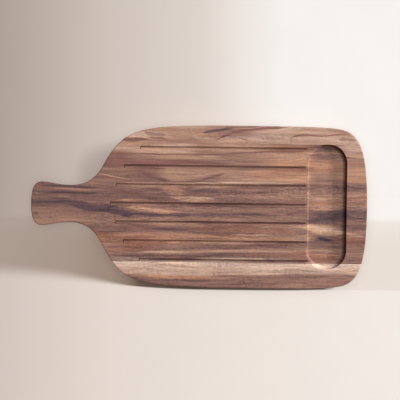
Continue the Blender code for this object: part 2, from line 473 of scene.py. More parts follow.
for name in ("scorch", "milk"):
    print("of", len(tones), "tones,", name, "reflects", np.round(toned(name)[:3], 3))

# %% [markdown]
# Words for building a finish
#
# Every finish below is a small network of nodes. These few words keep the networks readable: a
# noise stretched along the grain, a fade, a mix, a band of tones and a little arithmetic.


# %% A finish and its words
class Finish:
    """A material under construction, worked out in millimetres from the object's coordinates."""

    def __init__(self, name):
        self.material = bpy.data.materials.new(name)
        self.material.use_nodes = True
        self.tree = self.material.node_tree
        self.shader = self.tree.nodes["Principled BSDF"]
        self.colour = None
        coordinates = self.tree.nodes.new("ShaderNodeTexCoord").outputs
        self.place = self.vector("SCALE", coordinates["Object"], 1 / mm)
        self.x, self.y, self.z = self.parted(self.place)
        self.lengthwise, self.farward, self.upward = self.parted(coordinates["Normal"])

    def feed(self, node, values):
        """Link a node's inputs to sockets, or set them to plain values."""
        for name, value in values.items():
            if isinstance(value, bpy.types.NodeSocket):
                self.tree.links.new(value, node.inputs[name])
            else:
                node.inputs[name].default_value = value

    def node(self, kind, values, **settings):
        """A new node of a kind, with its settings made and its inputs fed."""
        node = self.tree.nodes.new("ShaderNode" + kind)
        for name, setting in settings.items():
            setattr(node, name, setting)
        self.feed(node, values)
        return node

    def number(self, operation, *values):
        """Arithmetic on single numbers."""
        return self.node("Math", dict(enumerate(values)), operation=operation).outputs[0]

    def times(self, first, *others):
        """Numbers multiplied, one after another."""
        for other in others:
            first = self.number("MULTIPLY", first, other)
        return first

    def less(self, first, second):
        """The first number less the second."""
        return self.number("SUBTRACT", first, second)

    def share(self, part, whole):
        """The first number divided by the second."""
        return self.number("DIVIDE", part, whole)

    def size(self, value):
        """A number without its sign."""
        return self.number("ABSOLUTE", value)

    def added(self, value, amount, base):
        """The base with an amount of the value added."""
        return self.number("MULTIPLY_ADD", value, amount, base)

    def reach(self, x, y):
        """The length of a flat arrow: the root of x^2 + y^2."""
        return self.number("SQRT", self.number("ADD", self.times(x, x), self.times(y, y)))

    def vector(self, operation, first, second):
        """Arithmetic on places or colours."""
        values = {0: first, "Scale" if operation == "SCALE" else 1: second}
        return self.node("VectorMath", values, operation=operation).outputs[0]

    def parted(self, place):
        """One place as three numbers."""
        return self.node("SeparateXYZ", {0: place}).outputs

    def joined(self, *numbers):
        """Three numbers as one place."""
        return self.node("CombineXYZ", dict(enumerate(numbers))).outputs[0]

    def noise(self, place, grain, detail, seed):
        """Noise with grains of a length, width and height in mm, as a number round zero."""
        shifted = self.vector("ADD", place, (seed * 31, seed * 17, seed * 7))
        values = {"Vector": self.vector("DIVIDE", shifted, grain), "Scale": 1, "Detail": detail}
        node = self.node("TexNoise", {**values, "Roughness": 0.55})
        return self.added(node.outputs["Fac"], 4, -2)

    def fade(self, value, start, end):
        """A smooth step from zero at the start to one at the end."""
        values = {"Value": value, "From Min": start, "From Max": end}
        return self.node("MapRange", values, interpolation_type="SMOOTHSTEP").outputs["Result"]

    def mix(self, share, first, second):
        """Two colours mixed by a share of the second."""
        return self.node("Mix", {0: share, 6: first, 7: second}, data_type="RGBA").outputs[2]

    def lay(self, tone, *shares):
        """Lay a named tone over the colour so far, by the product of the shares."""
        self.colour = self.mix(self.times(*shares), self.colour, toned(tone))

    def lighten(self, share, amount):
        """Make the colour so far brighter by an amount of a share."""
        self.colour = self.vector("SCALE", self.colour, self.added(share, amount, 1))

    def bands(self, share, stops):
        """Tones laid side by side: stops are (share, colour), in order."""
        node = self.node("ValToRGB", {0: share})
        elements = node.color_ramp.elements
        while len(elements) < len(stops):
            elements.new(1.0)
        for element, (position, _) in zip(elements, stops):
            element.position = position
        for element, (_, colour) in zip(elements, stops):
            element.color = colour
        return node.outputs[0]

    def curve(self, share, points):
        """A smooth line through (share, value) points."""
        node = self.node("FloatCurve", {"Value": share})
        line = node.mapping.curves[0]
        while len(line.points) < len(points):
            line.points.new(0.5, 0.5)
        for point, (position, value) in zip(line.points, points):
            point.location = (position, value)
            point.handle_type = "AUTO_CLAMPED"
        node.mapping.extend = "HORIZONTAL"
        node.mapping.update()
        return node.outputs[0]

    def finish(self, colour, roughness, height, height_mm, sheen=0.2):
        """Wire colour, roughness, sheen and bump into the shader."""
        bump = self.node("Bump", {"Distance": height_mm * mm, "Strength": 1, "Height": height})
        self.feed(self.shader, {
            "Base Color": colour, "Roughness": roughness, "Specular IOR Level": sheen,
            "Normal": bump.outputs[0],
        })
        print(self.material.name, "is a finish of", len(self.tree.nodes), "nodes")
        return self.material


# %% [markdown]
# Wood, plank by plank
#
# A plank's figure is drawn the way a grainer draws one. Bands of tones run along the plank and
# drift from one end to the other. Single strands, such as a dark heart line or a pale flame, are
# laid over them. Streaks, pores and a cross-grain shimmer then break everything up. All of it hangs
# on the place across the plank, which is y plus slow noise, so that every band wanders as a grown
# one does.

# %% Start a plank
x_low, x_high = -240.0, 240.0


def start_plank(name, low, high, seed, length):
    """A plank from low to high across the board, with the flow its streaks and pores follow."""
    leaning, wander, ripple, streak_wander = 0.1, 1.5, 0.6, 2.2
    f = Finish(name)
    f.low, f.wide = low, high - low
    deep = f.less(f.z, thickness / mm)
    slow = f.noise(f.place, (95, 17, 30), 1.0, seed)
    f.quick = f.noise(f.place, (26, 4.5, 9), 2.0, seed + 1)
    across = f.added(deep, leaning, f.y)
    across = f.added(slow, wander, across)
    across = f.added(f.quick, ripple, across)
    f.flow = f.joined(f.x, f.added(slow, streak_wander, across), f.z)
    f.across = f.share(f.less(across, low), f.wide)
    f.along = f.share(f.less(f.x, x_low), x_high - x_low)
    f.fine = f.noise(f.flow, (30 * length, 2.0, 4), 4.0, seed + 3)
    return f


# %% [markdown]
# Bands and strands are written down in words, so that they can be read against the wood. In the
# line "-84: 90 straw, 93 tan" the wood at x = -84 mm is straw at y = 90 and tan at y = 93. The line
# "plum 0.9 3.2: -116 93.5, -94 93.8" gives a strand's tone, its strength, its half width, and the
# points x and y that it runs through. A comma at the end of a line says that it goes on.


# %% Lay the bands and the strands
def lines_of(written):
    """The lines of a table: what stands before the colon, and a list of word pairs after it."""
    for line in written.replace(",\n", ", ").strip().splitlines():
        head, tail = line.split(":")
        yield head, [item.split() for item in tail.split(",")]


def lay_bands(f, written):
    """The ground of the figure: a row of tones at each station, cross-faded along x to the next."""
    hold = 0.15
    for head, words in lines_of(written):
        x = float(head)
        band = f.bands(f.across, [((float(y) - f.low) / f.wide, toned(tone)) for y, tone in words])
        if f.colour is None:
            f.colour = band
        else:
            gap = x - last_x
            f.colour = f.mix(f.fade(f.x, last_x + hold * gap, x - hold * gap), f.colour, band)
        last_x = x


def lay_strand(f, head, points):
    """One strand: it fades out as |y - centre(x)| / width(x), frayed by fine streaks, grows."""
    fray, outer, inner = 0.42, 1.25, 0.45
    tone, strength, width = head.split()
    path = [(float(x), float(y)) for x, y in points]
    share_x = [(x - x_low) / (x_high - x_low) for x, y in path]
    centre = f.curve(f.along, [(s, (y - f.low) / f.wide) for s, (x, y) in zip(share_x, path)])
    start, end = path[0][0], path[-1][0]
    taper = 0.3 * (end - start)
    girth = f.times(f.fade(f.x, start, start + taper), f.fade(f.x, end, end - taper))
    off = f.size(f.less(f.across, centre))
    off = f.share(off, f.added(girth, float(width) / f.wide, 0.00001))
    off = f.added(f.fine, fray, off)
    f.lay(tone, f.fade(off, outer, inner), float(strength))


# %% [markdown]
# A knot is where a branch grew out of the plank. Here it is a small leaning eye: pitch-dark inside,
# with a brown swirl of disturbed grain round it.


# %% Set a knot
def set_knot(f, x, y, half_long, half_wide, lean):
    """An oval eye at x, y, whose rings are equal values of (dx / long)^2 + (dy / wide)^2."""
    aside = f.less(f.x, x)
    below = f.less(f.added(aside, -lean, f.y), y)
    below = f.added(f.quick, 0.25 * half_wide, below)
    swirl = f.reach(f.share(aside, half_long), f.share(below, half_wide))
    f.lay("umber", f.fade(swirl, 1.9, 0.9), 0.5)
    f.lay("pitch", f.fade(swirl, 1.15, 0.7))


# %% [markdown]
# Sawn wood is never one clean tone. Long streaks come from the year rings, short flecks and hairs
# from the rays and fibres, and a shimmer across the grain from curly growth. Open pores are short
# dark dashes. The handle, worn smooth by hands, is calmer than the rest.


# %% Streaks, shimmer and pores
def break_up(f, seed, curl, crisp, length):
    """Streaks tint the figure from cool and dark to warm and light. Gives back the pores' share."""
    leaning, pore_shade = 0.35, 0.42
    across_grain = f.joined(f.added(f.y, leaning, f.x), f.y, f.z)
    shimmer = f.noise(across_grain, (3.2, 7, 6), 3.0, seed + 4)
    curly_zones = f.fade(f.noise(f.place, (40, 22, 30), 1.0, seed + 6), -0.3, 0.6)
    shimmer = f.times(shimmer, curly_zones)
    broad = f.noise(f.flow, (85, 3.8, 12), 3.0, seed + 2)
    hairs = f.noise(f.flow, (14 * length, 1.1, 1.5), 2.0, seed + 7)
    flecks = f.noise(f.flow, (3.4, 1.5, 1.5), 2.0, seed + 8)
    on_handle = f.fade(f.x, -130, -170)
    calm = f.added(on_handle, -0.55 * crisp, crisp)
    streak = f.added(broad, 0.22, 0.5)
    for noise, strength in ((f.fine, 0.3), (hairs, 0.22), (flecks, 0.2)):
        streak = f.added(noise, f.times(calm, strength), streak)
    streak = f.added(shimmer, curl, streak)
    toning = f.bands(streak, [
        (0.15, (0.285, 0.27, 0.31, 1)), (0.5, (0.5, 0.5, 0.5, 1)), (0.85, (0.735, 0.72, 0.69, 1)),
    ])
    f.colour = f.vector("SCALE", f.vector("MULTIPLY", f.colour, toning), 2.0)
    pores = f.fade(f.noise(f.flow, (11 * length, 0.5, 0.7), 2.0, seed + 5), 0.35, 0.9)
    f.lay("umber", pores, calm, pore_shade)
    return pores


# %% [markdown]
# End grain drinks more oil and goes darker. In a groove the far wall turns away from the light and
# lies in shade, the lip above it catches light, and the cutter has scorched the groove's start.
# Soft studio light draws that shade and that light too faintly, so the finish adds painted shade on
# the far wall and a painted highlight on the lip. It is kept near the top, where z is over 14.5 mm,
# so that the rims and the underside stay plain.


# %% Grooves: painted shade, painted highlight and the cutter's scorch
def shade_grooves(f):
    """Painted shade on the far wall, a painted highlight on the lip and a scorched start for each
    groove of this plank.
    """
    end_shade, wall_shade, lip_light, start_scorch = 0.42, 0.58, 0.45, 0.97
    top = thickness / mm
    sunk = f.times(f.fade(f.z, top - 0.2, top - 1.6), f.fade(f.x, 158, 150))
    end_grain = f.fade(f.size(f.lengthwise), 0.35, 0.85)
    f.lay("scorch", end_grain, end_shade)
    tilt = f.fade(f.upward, 0.97, 0.75)
    near_top = f.fade(f.z, 14.5, 15.3)
    for start, groove_y in zip(groove_starts / mm, groove_ys / mm):
        if f.low < groove_y < f.low + f.wide:
            rise = f.less(f.y, groove_y)
            run = f.times(f.fade(f.x, start - 0.8, start + 0.2), near_top)
            # Painted shade: the groove's far wall, which faces away from the light, gets the
            # darkest tone.
            far_wall_painted_shade = f.times(f.fade(rise, -1.2, 1.3), f.fade(rise, 4.2, 3.6))
            f.lay("scorch", far_wall_painted_shade, sunk, run, wall_shade)
            # Painted highlight: the lip above the far wall is made lighter.
            lip = f.times(f.fade(rise, 2.3, 3.1), f.fade(rise, 4.6, 3.8))
            lip = f.times(lip, f.fade(f.x, start + 1, start + 4), f.fade(f.x, 156, 150), near_top)
            f.lighten(lip, lip_light)
            start_end = f.fade(f.x, start + 3.4, start + 1.8)
            start_row = f.fade(f.size(f.less(rise, 0.8)), 3.8, 3)
            f.lay("scorch", start_end, start_row, tilt, run, start_scorch)


# %% [markdown]
# The cove of the tray and one rim get painted light and painted shade by the way they face the
# light. The cove gets a painted highlight in its near left corner, which faces the light, painted
# light at the far end, which faces away from it, and painted shade along the broad end, whose wall
# faces away from it too. The rim of the handle and shoulder that faces the near left, away from the
# light, gets painted light. All of it is kept inside the tray's hole, or on the rim.


# %% Painted light and shade in the tray and on the shoulder
def paint_tray_light_and_shade(f):
    """Painted light and painted shade by the way the cove and the rim face the light. Gives back
    how polished the near wall is.
    """
    near_highlight, far_end_light, rim_light = 0.42, 0.6, 0.8
    inside = f.times(f.fade(f.x, 151, 156), f.fade(f.x, 212.6, 211.4))
    from_middle = f.size(f.less(f.y, work_line_y / mm))
    inside = f.times(inside, f.fade(from_middle, 92, 90.4), f.fade(f.z, 9, 9.6))
    near_end = f.times(f.fade(f.y, -50, -66), inside)
    facing_light = f.added(f.farward, 0.8, f.times(f.lengthwise, 0.6))
    # Painted highlight where the near left corner of the cove faces the light.
    f.lighten(f.times(f.fade(facing_light, 0.1, 0.5), near_end), near_highlight)
    # Painted light at the far end of the cove, which faces away from the light.
    far_end = f.times(f.fade(f.farward, -0.1, -0.5), f.fade(f.y, 66, 78), inside)
    f.lighten(f.times(far_end, f.fade(f.x, 204, 188)), far_end_light)
    # Painted shade on the broad end's wall, which faces away from the light, strongest at the near
    # end.
    shaded_wall = f.times(f.fade(f.lengthwise, -0.02, -0.4), f.fade(f.x, 182, 194))
    f.lay("scorch", shaded_wall, f.added(near_end, 0.2, 0.33), inside)
    # Painted light on the rim that faces the near left, away from the light.
    rim_away_from_light = f.times(f.fade(f.lengthwise, -0.1, -0.4), f.fade(f.farward, -0.05, -0.3))
    f.lighten(f.times(rim_away_from_light, f.fade(f.x, 90, 60), f.fade(f.upward, 0.1, 0.4)), rim_light)
    return f.times(f.fade(f.farward, 0.1, 0.3), inside)


# %% [markdown]
# The whole recipe for a plank: ground, strands, knots, streaks, then painted light and shade in the
# grooves, the tray and on the rim. Pores are rougher than the oiled wood between them, and a flat
# face shines more than a cut one, because sanding reaches it best.


# %% One plank's wood
def grained_plank(name, low, high, stations, strands, seed, curl, crisp=1.0, length=1.0, knots=()):
    """One plank's wood, from its bands, strands and knots."""
    f = start_plank(name, low, high, seed, length)
    lay_bands(f, stations)
    for head, points in lines_of(strands):
        lay_strand(f, head, points)
    for knot in knots:
        set_knot(f, *knot)
    pores = break_up(f, seed, curl, crisp, length)
    shade_grooves(f)
    polished = paint_tray_light_and_shade(f)
    oiled, pore_depth_mm = 0.46, 0.03
    roughness = f.added(polished, -0.2, f.added(pores, 0.2, oiled))
    height = f.added(f.fine, 0.3, f.times(pores, -1.0))
    sheen = f.added(polished, 0.5, f.added(f.fade(f.upward, 0.8, 0.97), 0.17, 0.03))
    return f.finish(f.colour, roughness, height, pore_depth_mm, sheen)


# %% [markdown]
# The far edge plank
#
# The strip along the far long edge is light and curly, with a dark seam that climbs across it and a
# few pale flames. Its figure leans more than that of the other planks, so it is drawn with leaning
# plum strands over a straw ground, and with long soft streaks.

# %% The far edge plank's wood
far_edge_wood = grained_plank("far_edge_wood", 88, 118, """
-84: 90 straw, 93 tan, 96 straw, 99 cream, 104 cream, 108 straw, 113 tan
-20: 90 tan, 94 fawn, 97 tan, 101 straw, 105 straw, 108 tan, 111 straw, 115 cream
52: 90 straw, 94.5 straw, 98 rose, 101 tan, 104 fawn, 108 fawn, 112 tan
100: 90 straw, 95 oat, 99 rose, 102 oat, 107 rose, 111 cream, 115 cream
150: 90 rose, 94 straw, 97 rose, 100 cream, 104 tan, 108 cream, 112 oat
223: 90 straw, 94 cream, 100 cream, 105 tan
""", """
plum 0.9 3.2: -116 93.5, -94 93.8, -72 95
plum 0.8 1.2: -80 104, -66 104.5
fawn 0.8 3: -78 101.4, -62 101.6, -46 101
cream 0.9 1.8: -12 98.6, 0 98.6, 16 98
plum 0.8 1.4: -78 99, -62 97.4, -44 96
walnut 0.6 1: -36 92, -10 92.4
apricot 0.9 2: -6 99.5, 14 100.6, 34 99
dusk 0.95 2.6: 0 103.6, 20 108, 40 112.4, 58 115
slate 0.8 1.6: 36 112, 60 114.6, 90 116
plum 0.95 2.6: 14 91, 36 101, 58 108, 84 112, 134 115.4
umber 0.7 0.8: 54 98.4, 72 94
plum 0.9 1.6: 118 91, 126 96, 135 102.5, 152 104.8, 170 103, 196 105, 220 107.6
apricot 0.8 2: 128 109.5, 156 110.5, 184 109
plum 0.6 2.6: 196 99, 212 98, 226 97
""", seed=116, curl=0.2, crisp=0.5, length=1.6)

# %% [markdown]
# The far plank
#
# The far plank carries the three far grooves. It is reddish tan and flat-sawn, so its year rings
# show as slanting arches: a plum one down from the shoulder and an umber one in the middle. Towards
# the tray it turns orange, which the stations at 140 and 179 mm say.

# %% The far plank's wood
far_wood = grained_plank("far_wood", 32, 92, """
-122: 33 fawn, 36 fawn, 40 bark, 44 fawn, 48 walnut, 53 fawn, 57 plum, 66 plum, 70 walnut,
74 russet, 78 tan, 82 oat, 87 straw
-74: 33 walnut, 36 fawn, 40 bark, 44 bark, 48 fawn, 52 umber, 61 plum, 65 fawn, 69 tan, 74 tan,
78 rose, 82 straw, 87 straw
-36: 33 slate, 36 fawn, 40 straw, 44 tan, 48 straw, 52 fawn, 58 walnut, 62 plum, 66 tan, 69 straw,
74 tan, 78 cream, 82 straw, 86 cream
12: 33 fawn, 36 walnut, 40 fawn, 44 straw, 48 straw, 52 fawn, 58 walnut, 65 walnut, 68 straw,
71 tan, 74 walnut, 78 fawn, 82 straw, 86 tan
60: 33 tan, 36 tan, 41 straw, 46 tan, 50 tan, 53 walnut, 60 fawn, 65 fawn, 70 tan, 75 fawn, 79 tan,
83 straw, 88 straw
140: 33 fawn, 36 apricot, 41 peach, 48 apricot, 52 amber, 56 russet, 61 apricot, 68 apricot,
74 straw, 78 tan, 81 russet, 87 amber
179: 33 fawn, 44 fawn, 50 tan, 54 honey, 64 honey, 68 tan, 71 bark, 75 fawn, 77 tan, 80 bark,
84 umber, 88 walnut
223: 33 walnut, 36 fawn, 39 apricot, 45 apricot, 50 straw, 56 honey, 59 tan, 64 honey, 70 tan,
75 straw, 80 rose, 84 rose, 88 cream
""", """
cream 0.95 1.5: -24 34.4, 40 34.4, 104 34.2, 150 33.8
plum 0.8 1: -130 74, -60 74, 6 74, 40 77, 84 78.5, 158 80
straw 0.8 1.4: -72 68, -54 68.6, -36 68
cream 0.7 1: -2 72, 14 72.2, 34 72
plum 0.9 3.2: -140 63, -90 62.6, -40 62, 30 62
plum 0.75 3.4: -96 50, -76 44.6, -60 40, -38 35.4
dusk 0.8 1.4: -84 46.6, -70 41.4, -44 35.2
walnut 0.7 3.2: -6 35.4, 18 41.5, 42 48.6
umber 0.7 1.3: -2 36, 18 41.5, 40 48
plum 0.8 1.2: -148 43, -120 38.5, -90 34.5
straw 0.8 1: -150 47, -124 41.4, -96 37
straw 0.8 1.7: -66 51.2, -20 51.4, 26 51
honey 0.8 5: 56 43, 100 45, 150 43
peach 0.7 1.6: 58 38, 80 40, 100 37
dusk 0.8 1.7: 160 85.6, 172 85, 192 83
plum 0.7 1.5: 155 74, 176 75
dusk 0.8 0.7: 205 72.2, 226 72
""", seed=802, curl=0.1, crisp=0.6, length=1.8)

# %% [markdown]
# The middle plank
#
# The middle plank runs on to make nearly the whole handle. Its ink-dark heart line starts at the
# handle's end, swells through the neck, thins out beside the middle groove and comes back as a blot
# in the tray. It is drawn with the most strands, because the eye follows this line first.

# %% The middle plank's wood
middle_wood = grained_plank("middle_wood", -34, 34, """
-214: -22 tan, -18 fawn, -8 fawn, -3 walnut, 1 dusk, 4 dusk, 8 bark, 11 walnut, 15 bark, 18 dusk,
22 walnut, 25 bark, 29 umber
-141: -22 tan, -16 fawn, -12 walnut, -8 bark, -3 dusk, 0 bark, 3 walnut, 9 bark, 14 bark, 17 umber,
20 bark, 23 walnut, 26 bark, 31 fawn
-66: -22 tan, -18 fawn, -14 bark, -10 umber, -6 walnut, -1 fawn, 3 walnut, 8 bark, 12 bark,
17 umber, 21 bark, 25 walnut, 28 tan, 32 straw
8: -22 umber, -18 fawn, -14 walnut, -10 walnut, -6 fawn, -1 fawn, 2 umber, 8 walnut, 12 fawn,
15 walnut, 20 bark, 24 bark, 27 tan, 32 straw
76: -22 walnut, -17 fawn, -12 umber, -8 walnut, -4 fawn, 1 bark, 4 umber, 10 bark, 15 tan, 20 bark,
24 walnut, 28 walnut, 32 fawn
140: -22 bark, -17 tan, -12 walnut, -7 walnut, -3 fawn, 2 walnut, 9 walnut, 14 tan, 20 tan,
24 walnut, 28 fawn, 32 umber
179: -23 bark, -18 dusk, -14 umber, -10 umber, -5.5 bark, -3 tan, 1 straw, 4 honey, 7 amber,
11 straw, 15 straw, 20 fawn, 25 fawn, 29 bark, 32 walnut
223: -22 fawn, -19 walnut, -15 umber, -12 bark, -8 umber, -5 dusk, -2 walnut, 2 tan, 6 amber,
9 fawn, 13 amber, 17 tan, 20 tan, 23 walnut, 32 walnut
""", """
ink 0.9 1.4: -240 3.8, -222 3.7, -196 3.4
ink 0.9 2: -222 3.4, -196 3.8, -166 2.4, -146 0.4
ink 0.95 4.6: -190 0.4, -172 -2.6, -150 -5, -134 -6.4, -116 -9, -98 -11.4, -78 -12.8
ink 0.9 2.6: -116 -9.6, -92 -11.6, -66 -12.8, -34 -13, 4 -12.2
dusk 0.7 1.8: -60 -13.2, 0 -12.4, 90 -11.8
ink 0.85 1.9: -236 27.4, -200 27, -166 26.6, -136 25.8
tan 0.8 1.3: -218 22.8, -176 22.8, -134 22.5
ink 0.8 2: -228 17.4, -180 17.4, -134 16.4
straw 0.7 0.8: -242 16, -224 16.2
tan 0.7 1.3: -206 11, -180 11
ink 0.85 1: -214 8.2, -184 8
bark 0.8 2.4: -238 -12.4, -228 -12.8
tan 0.8 2: -214 -20.6, -180 -20.4, -144 -20
apricot 0.9 3.6: -110 -1.8, -90 -3.2, -64 -6, -44 -7.4, -22 -9
cream 0.7 1.4: -88 -3.4, -64 -5.8, -42 -7.4
dusk 0.85 1.6: -76 21.6, -48 17.4, -22 14.6
fawn 0.7 1.3: -84 19.6, -62 19.4, -44 21
walnut 0.8 1.8: -112 9.4, -92 8.6, -76 6.6
walnut 0.7 1.4: -90 -0.8, -62 -1, -40 -0.4
fawn 0.8 1.5: -50 4.4, -32 3.4, -14 3.6
fawn 0.6 1.4: -62 -16.8, -30 -16.4, -14 -16.8
umber 0.8 1.3: -96 13.3, -70 10.2, -50 9.8
honey 0.8 4.4: -58 22.6, -36 23, -18 21
straw 0.9 3.4: -46 13.6, -30 11, -6 9.6, 26 9.8
cream 0.7 1.2: -16 11.4, 0 10.8, 18 10.6
honey 0.8 1.5: -48 17.4, -20 16.6
dusk 0.8 3.4: -16 21.6, 8 22, 32 18
umber 0.7 0.9: 16 15.6, 58 17.4, 96 19.2, 150 24.5
apricot 0.7 0.8: -116 7.2, -78 7
tan 0.7 1.2: -140 -17.4, 0 -17.4, 160 -17.4
dusk 0.7 1.4: -4 -11.2, 50 -11, 106 -11.4
ink 0.8 3.2: 150 -19, 168 -18.6, 186 -18
ink 0.85 7.5: 168 -14, 192 -13, 220 -12
straw 0.8 0.8: 154 -3.8, 206 -3.4
dusk 0.8 0.9: 206 0.6, 236 0.8
dusk 0.8 2.6: 200 -6.2, 220 -6.4, 240 -7
dusk 0.8 1.4: 200 -15, 220 -15, 240 -15.6
dusk 0.4 2.6: 203 29, 220 28.4, 240 28
""", seed=475, curl=0.2)

# %% [markdown]
# The near plank
#
# The near plank is quarter-sawn: red-brown, straight and even, with a tail along the near side of
# the handle. What stands out is a pale wheat flame across the tray, and the small knot below it.

# %% The near plank's wood
near_wood = grained_plank("near_wood", -82, -20, """
-200: -30 walnut, -27 fawn, -23 tan
-137: -54 fawn, -48 amber, -42 amber, -39 russet, -35 walnut, -31 umber, -27 fawn, -23 fawn
-92: -79 moss, -75 moss, -72 umber, -68 walnut, -65 fawn, -61 russet, -46 russet, -42 honey,
-39 walnut, -35 walnut, -31 plum, -27 walnut, -24 walnut
-34: -79 moss, -76 bark, -72 umber, -68 fawn, -65 straw, -61 walnut, -57 fawn, -52 honey, -42 honey,
-38 fawn, -34 dusk, -29 walnut, -24 straw
36: -79 moss, -76 fawn, -74 moss, -71 dusk, -67 umber, -63 straw, -60 walnut, -55 bark, -51 straw,
-46 honey, -41 amber, -38 bark, -34 russet, -30 russet, -24 walnut
112: -79 slate, -76 walnut, -73 slate, -70 russet, -66 walnut, -62.5 straw, -59 walnut, -54 umber,
-50 walnut, -45 honey, -39 fawn, -34 russet, -29 fawn, -24 walnut
150: -79 fawn, -76 plum, -72 walnut, -66 amber, -61 tan, -57 walnut, -49 walnut, -45 straw,
-38 fawn, -33 fawn, -28 straw, -24 fawn
180: -79 fawn, -76 russet, -72 amber, -69 amber, -66 walnut, -63 tan, -60 walnut, -57 bark,
-51 bark, -46 plum, -41 bark, -37 straw, -32 cream, -27 straw, -24 walnut
223: -79 fawn, -76 walnut, -72 walnut, -69 fawn, -61 fawn, -54 walnut, -48 russet, -44 russet,
-40 fawn, -33 fawn, -30 bark, -26 umber, -23 walnut
""", """
umber 0.9 1: -200 -23.2, -160 -23.4, -130 -23.6
dusk 0.85 1.1: -152 -37, -110 -37, -74 -37.2
dusk 0.6 0.9: -40 -37.4, 0 -37.6, 50 -37.6, 110 -38
bark 0.7 2: -50 -46.6, 0 -46.4, 76 -46.2
walnut 0.5 2.2: -46 -53.6, -16 -53.8, 20 -53.6
fawn 0.7 1.6: 16 -32.8, 34 -32.6, 54 -32.8
tan 0.6 1.6: 76 -51, 96 -51.4, 116 -51
tan 0.8 1.6: -112 -77.6, -92 -78, -70 -78.4
umber 0.7 1.1: -58 -33, -30 -32.8
russet 0.7 3.6: -20 -30, 24 -30.4, 74 -30.6
straw 0.8 1: 40 -40, 76 -40.2, 110 -40
amber 0.8 6.5: -160 -47, -128 -47.5, -104 -46
honey 0.8 1.6: -100 -40.6, -66 -40.6, -44 -41
russet 0.8 3.4: -106 -52, -74 -53, -36 -53
cream 0.85 1.5: -94 -65.2, -60 -65.6, -30 -65.8, -4 -65.4
straw 0.8 1.2: -10 -64.4, 60 -62.4, 130 -61.2
umber 0.9 2.2: -140 -71, -60 -71.4, 0 -70.8, 90 -69
dusk 0.8 1.6: -20 -68.4, 20 -67.6, 70 -66.4
russet 0.7 2: 44 -69, 62 -69, 80 -68.6
oat 0.8 1: -6 -74.8, 60 -74.6, 150 -74.8
moss 0.9 1.6: -140 -76, -104 -76.4, -80 -77
straw 0.4 1.4: 84 -28.6, 112 -28.8, 138 -28.4
wheat 0.9 5.6: 143 -29, 160 -29.6, 184 -32.6, 214 -36.8
sapwood 0.5 2.2: 150 -28, 164 -29, 186 -31.4, 210 -33.6
dusk 0.7 1.6: 160 -47, 182 -48.6, 204 -50.5
cream 0.7 0.8: 156 -62.2, 176 -62.4, 204 -63.6
apricot 0.8 1: 158 -67.6, 180 -68.2, 206 -69
umber 0.8 2.6: 200 -26.6, 220 -27.4, 240 -29
straw 0.8 2.4: 200 -34, 218 -37, 240 -40.6
""", seed=602, curl=0.14, crisp=0.9, length=1.3, knots=[(181, -45.4, 11, 3.0, -0.2)])

# %% [markdown]
# The near edge plank
#
# The near edge plank was cut where sapwood meets heartwood. Its inner half is cream, its outer half
# brown, and the border wanders a little. A fine light line marks the joint. Sapwood has few pores,
# so it is calm.

# %% The near edge plank's wood
near_edge_wood = grained_plank("near_edge_wood", -118, -78, """
-100: -104 bark, -100 fawn, -98 straw, -95 cream, -90 cream, -86 sapwood, -83 sapwood, -80 milk
-40: -113 bark, -109 walnut, -106 bark, -103 honey, -100 apricot, -97 cream, -94 oat, -91 cream,
-88 sapwood, -86 cream, -83 cream, -80.5 milk
0: -115 bark, -111 walnut, -108 walnut, -105 umber, -102.5 amber, -99.5 apricot, -97 oat, -94 oat,
-90 cream, -86 cream, -82 sapwood, -80 milk
40: -115 walnut, -106 walnut, -103 fawn, -99 walnut, -96 tan, -92 oat, -88 cream, -83 sapwood,
-81 cream
95: -114 fawn, -110 walnut, -106 fawn, -98 fawn, -95 oat, -91 oat, -88 sapwood, -83 sapwood,
-80 oat
150: -114 tan, -108 walnut, -104 fawn, -100 walnut, -96 fawn, -93 oat, -90 oat, -86 sapwood,
-82 sapwood, -80 oat
220: -97 fawn, -93 oat, -89 cream, -85 sapwood, -82 milk
""", """
sapwood 0.9 1.1: -130 -80.8, 0 -81.2, 150 -81.8, 230 -81.8
cream 0.8 1.8: -100 -98, -60 -98.6, 0 -98.2, 60 -95.6, 150 -93.6
dusk 0.8 1.1: -70 -105, -30 -105.6, 24 -106
apricot 0.8 1.6: -84 -100.8, -40 -100.8, 6 -100.8
walnut 0.6 1.4: -84 -107.6, -60 -108, -40 -108
tan 0.5 0.7: -60 -90, 10 -91, 60 -92
tan 0.5 0.5: 30 -86.4, 90 -87.4, 150 -88
fawn 0.5 0.5: 70 -90.4, 130 -91, 190 -90
""", seed=729, curl=0.18, crisp=0.75)

# %% [markdown]
# The glue
#
# Squeezed-out glue is scraped off, and what is left in the joint cures to a dull brown line. It is
# mottled a little by the dust that it took up, and it is darker than the wood, so that a joint can
# be found by eye.

# %% The glue's finish
glue = Finish("glue")
blotch = glue.noise(glue.place, (6, 2, 2), 2.0, 5)
glue_tones = [(0.2, toned("umber")), (0.8, toned("walnut"))]
glue_wood = glue.finish(
    glue.bands(glue.added(blotch, 0.4, 0.5), glue_tones), glue.added(blotch, 0.1, 0.5), blotch, 0.01
)

# %% [markdown]
# Dress the staves
#
# Each fine piece takes the place of the solid of the same name and rides on the board's one body,
# because nothing on a bread board moves. Its slot says which wood it is, so that a stave can be
# given another.

# %% Put each piece in its solid's place
woods = {
    "near_edge_stave": near_edge_wood, "near_stave": near_wood, "middle_stave": middle_wood,
    "far_stave": far_wood, "far_edge_stave": far_edge_wood,
}
for name, piece in {**staves, **glue_lines}.items():
    piece.data.materials.append(woods.get(name, glue_wood))
    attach(piece, "root")
    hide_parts(name)
    print(name, "wears", piece.data.materials[0].name)

